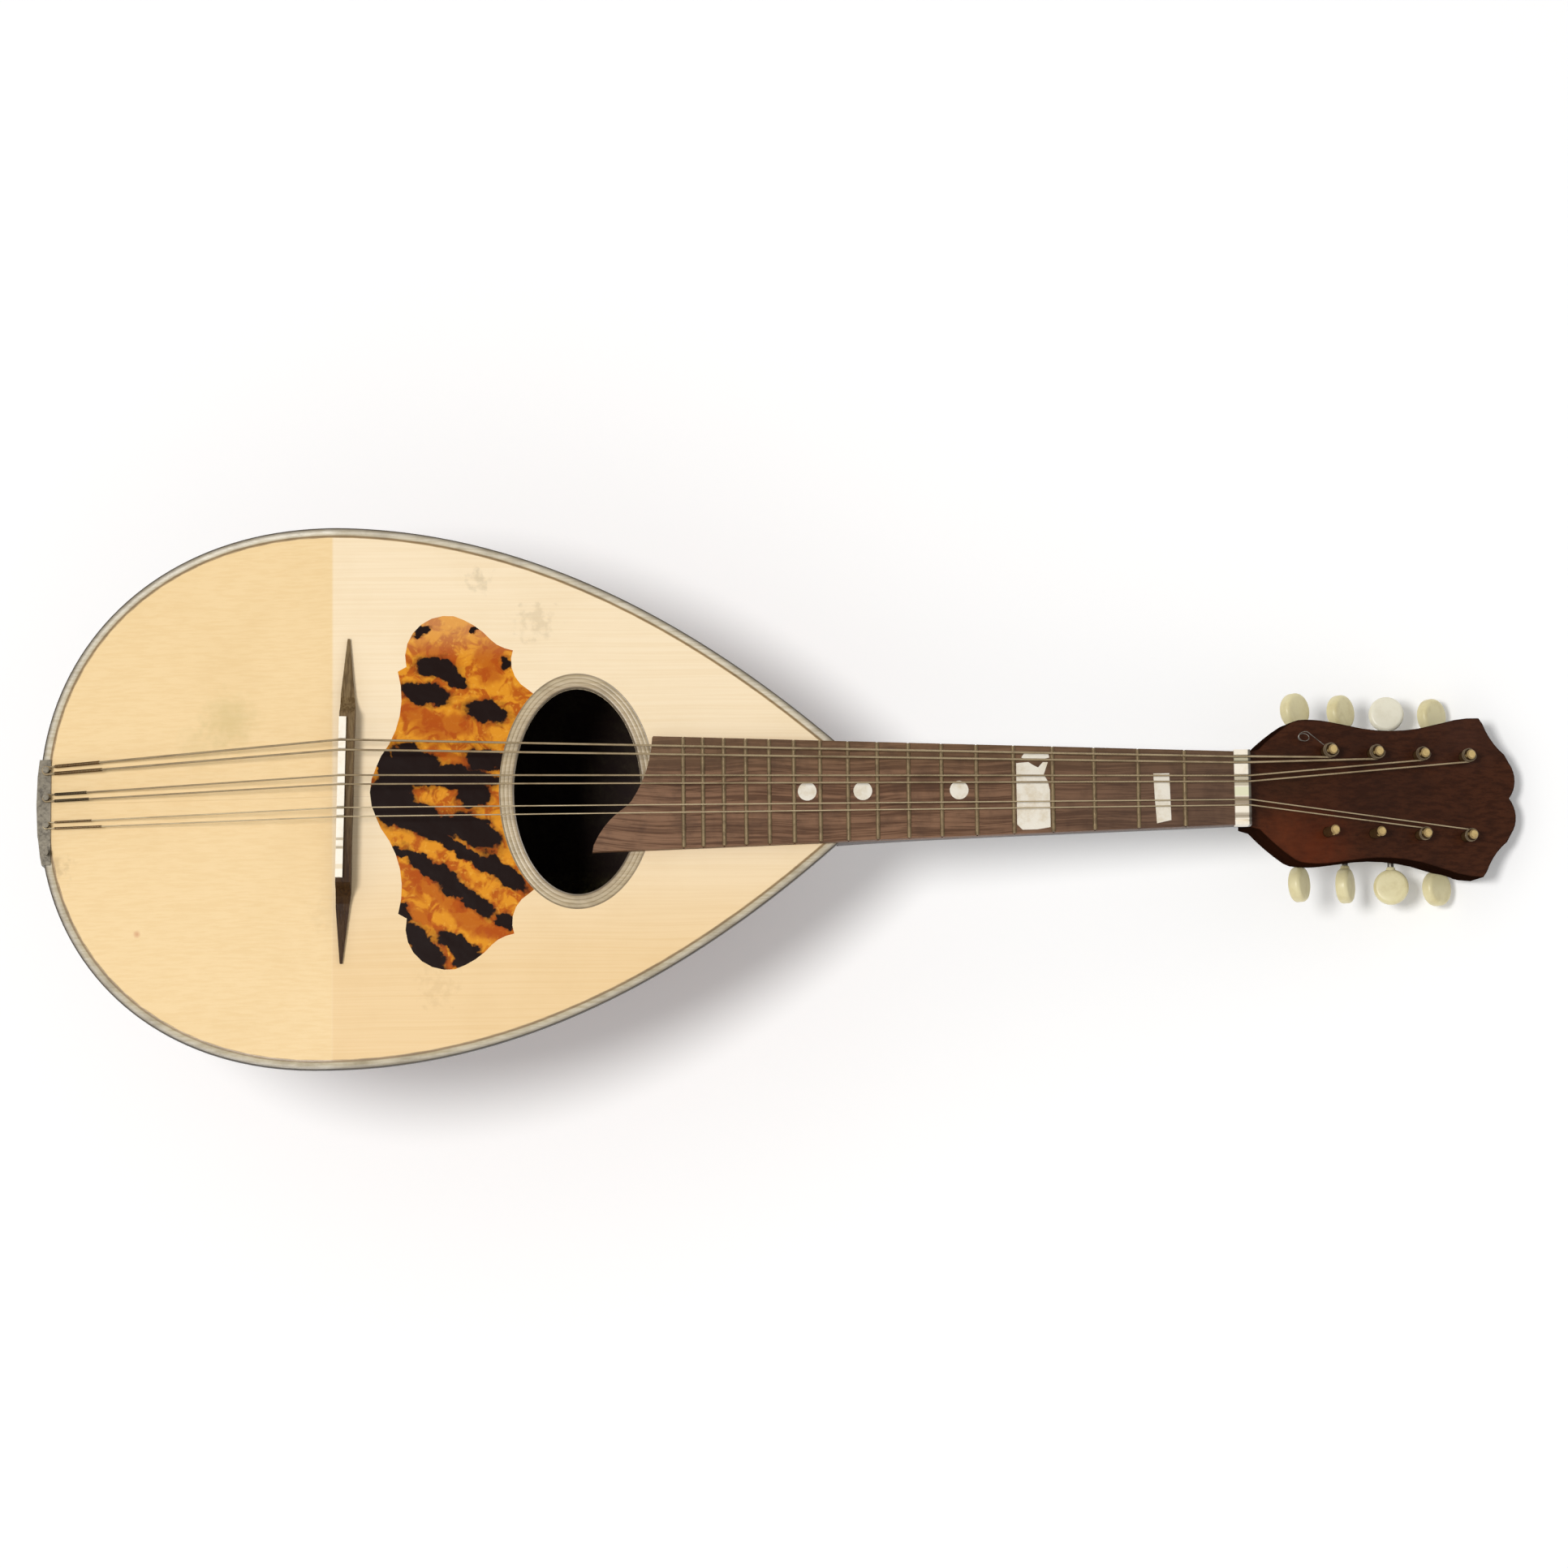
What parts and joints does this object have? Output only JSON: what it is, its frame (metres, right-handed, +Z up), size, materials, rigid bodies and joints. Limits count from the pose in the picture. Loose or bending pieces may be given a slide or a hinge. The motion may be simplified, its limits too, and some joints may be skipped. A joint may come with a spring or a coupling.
{
  "type": "bowl back mandolin",
  "caption": "Ribbed bowl back mandolin with canted face, oval soundhole, inlaid guard, fretted neck and geared tuning machines",
  "frame": {"origin": "centre of the flat of the middle rib that the bowl rests on, on the table", "axes": "+Z up from the table, +X along the table towards the head, +Y towards the low string side"},
  "size_m": [0.5465, 0.205, 0.1567],
  "materials": {
    "spruce": "satin varnish",
    "binding": "satin",
    "rosette": "satin",
    "tortoiseshell": "polished",
    "rosewood_ribs": "gloss varnish",
    "inner_wood": "bare",
    "mahogany": "gloss varnish",
    "fretboard_wood": "oiled",
    "fret_brass": "worn",
    "pearl": "pearly",
    "bone": "polished",
    "bridge_wood": "satin",
    "nickel": "worn",
    "steel": "worn",
    "machine_brass": "aged",
    "ivory_button": "polished",
    "wound_string": "wound",
    "plain_string": "bright"
  },
  "bodies": {
    "instrument": {"soundboard": "spruce", "rim_binding": "binding", "rosette_ring": "rosette", "pickguard": "tortoiseshell", "soundboard_braces": "inner_wood", "lining_strips": "inner_wood", "bowl_ribs": "rosewood_ribs", "tail_block": "inner_wood", "neck_block": "inner_wood", "tail_clasp": "mahogany", "neck": "mahogany", "headstock": "mahogany", "fretboard": "fretboard_wood", "frets": "fret_brass", "position_markers": "pearl", "nut": "bone", "bridge_base": "bridge_wood", "bridge_saddle": "bone", "tailpiece": "nickel", "tailpiece_screws": "steel", "tuner_plates": "nickel", "plate_screws": "steel", "g_string_1": "wound_string", "g_string_2": "wound_string", "d_string_1": "wound_string", "d_string_2": "wound_string", "a_string_1": "plain_string", "a_string_2": "plain_string"},
    "worm_1": {"worm_shaft_1": "steel", "button_1": "ivory_button"},
    "post_1": {"post_1": "machine_brass", "gear_1": "machine_brass"},
    "worm_2": {"worm_shaft_2": "steel", "button_2": "ivory_button"},
    "post_2": {"post_2": "machine_brass", "gear_2": "machine_brass"},
    "worm_3": {"worm_shaft_3": "steel", "button_3": "ivory_button"},
    "post_3": {"post_3": "machine_brass", "gear_3": "machine_brass"},
    "worm_4": {"worm_shaft_4": "steel", "button_4": "ivory_button"},
    "post_4": {"post_4": "machine_brass", "gear_4": "machine_brass"},
    "worm_5": {"worm_shaft_5": "steel", "button_5": "ivory_button"},
    "post_5": {"post_5": "machine_brass", "gear_5": "machine_brass"},
    "worm_6": {"worm_shaft_6": "steel", "button_6": "ivory_button"},
    "post_6": {"post_6": "machine_brass", "gear_6": "machine_brass"},
    "worm_7": {"worm_shaft_7": "steel", "button_7": "ivory_button"},
    "post_7": {"post_7": "machine_brass", "gear_7": "machine_brass"},
    "worm_8": {"worm_shaft_8": "steel", "button_8": "ivory_button"},
    "post_8": {"post_8": "machine_brass", "gear_8": "machine_brass"}
  },
  "joints": [
    {"name": "worm_1_turn", "type": "hinge", "parent": "instrument", "child": "worm_1", "pos_m": [0.32873, 0.0153, 0.03723], "axis": [0, 1, 0], "continuous": true},
    {"name": "post_1_turn", "type": "hinge", "parent": "instrument", "child": "post_1", "pos_m": [0.34122, 0.0153, 0.0482], "axis": [0.4853, 0, 0.8744], "continuous": true, "deforming": ["g_string_1"]},
    {"name": "worm_2_turn", "type": "hinge", "parent": "instrument", "child": "worm_2", "pos_m": [0.34525, 0.0153, 0.02806], "axis": [0, 1, 0], "continuous": true},
    {"name": "post_2_turn", "type": "hinge", "parent": "instrument", "child": "post_2", "pos_m": [0.35774, 0.0153, 0.03903], "axis": [0.4853, 0, 0.8744], "continuous": true, "deforming": ["g_string_2"]},
    {"name": "worm_3_turn", "type": "hinge", "parent": "instrument", "child": "worm_3", "pos_m": [0.36178, 0.0153, 0.01889], "axis": [0, 1, 0], "continuous": true},
    {"name": "post_3_turn", "type": "hinge", "parent": "instrument", "child": "post_3", "pos_m": [0.37427, 0.0153, 0.02985], "axis": [0.4853, 0, 0.8744], "continuous": true, "deforming": ["d_string_1"]},
    {"name": "worm_4_turn", "type": "hinge", "parent": "instrument", "child": "worm_4", "pos_m": [0.3783, 0.0153, 0.00972], "axis": [0, 1, 0], "continuous": true},
    {"name": "post_4_turn", "type": "hinge", "parent": "instrument", "child": "post_4", "pos_m": [0.39079, 0.0153, 0.02068], "axis": [0.4853, 0, 0.8744], "continuous": true, "deforming": ["d_string_2"]},
    {"name": "worm_5_turn", "type": "hinge", "parent": "instrument", "child": "worm_5", "pos_m": [0.32873, -0.0153, 0.03723], "axis": [0, 1, 0], "continuous": true},
    {"name": "post_5_turn", "type": "hinge", "parent": "instrument", "child": "post_5", "pos_m": [0.34122, -0.0153, 0.0482], "axis": [0.4853, 0, 0.8744], "continuous": true},
    {"name": "worm_6_turn", "type": "hinge", "parent": "instrument", "child": "worm_6", "pos_m": [0.34525, -0.0153, 0.02806], "axis": [0, 1, 0], "continuous": true},
    {"name": "post_6_turn", "type": "hinge", "parent": "instrument", "child": "post_6", "pos_m": [0.35774, -0.0153, 0.03903], "axis": [0.4853, 0, 0.8744], "continuous": true},
    {"name": "worm_7_turn", "type": "hinge", "parent": "instrument", "child": "worm_7", "pos_m": [0.36178, -0.0153, 0.01889], "axis": [0, 1, 0], "continuous": true},
    {"name": "post_7_turn", "type": "hinge", "parent": "instrument", "child": "post_7", "pos_m": [0.37427, -0.0153, 0.02985], "axis": [0.4853, 0, 0.8744], "continuous": true, "deforming": ["a_string_2"]},
    {"name": "worm_8_turn", "type": "hinge", "parent": "instrument", "child": "worm_8", "pos_m": [0.3783, -0.0153, 0.00972], "axis": [0, 1, 0], "continuous": true},
    {"name": "post_8_turn", "type": "hinge", "parent": "instrument", "child": "post_8", "pos_m": [0.39079, -0.0153, 0.02068], "axis": [0.4853, 0, 0.8744], "continuous": true, "deforming": ["a_string_1"]}
  ],
  "couplings": [
    {"joint": "post_1_turn", "follows": "worm_1_turn", "ratio": 0.071429},
    {"joint": "post_2_turn", "follows": "worm_2_turn", "ratio": 0.071429},
    {"joint": "post_3_turn", "follows": "worm_3_turn", "ratio": 0.071429},
    {"joint": "post_4_turn", "follows": "worm_4_turn", "ratio": 0.071429},
    {"joint": "post_5_turn", "follows": "worm_5_turn", "ratio": -0.071429},
    {"joint": "post_6_turn", "follows": "worm_6_turn", "ratio": -0.071429},
    {"joint": "post_7_turn", "follows": "worm_7_turn", "ratio": -0.071429},
    {"joint": "post_8_turn", "follows": "worm_8_turn", "ratio": -0.071429}
  ]
}
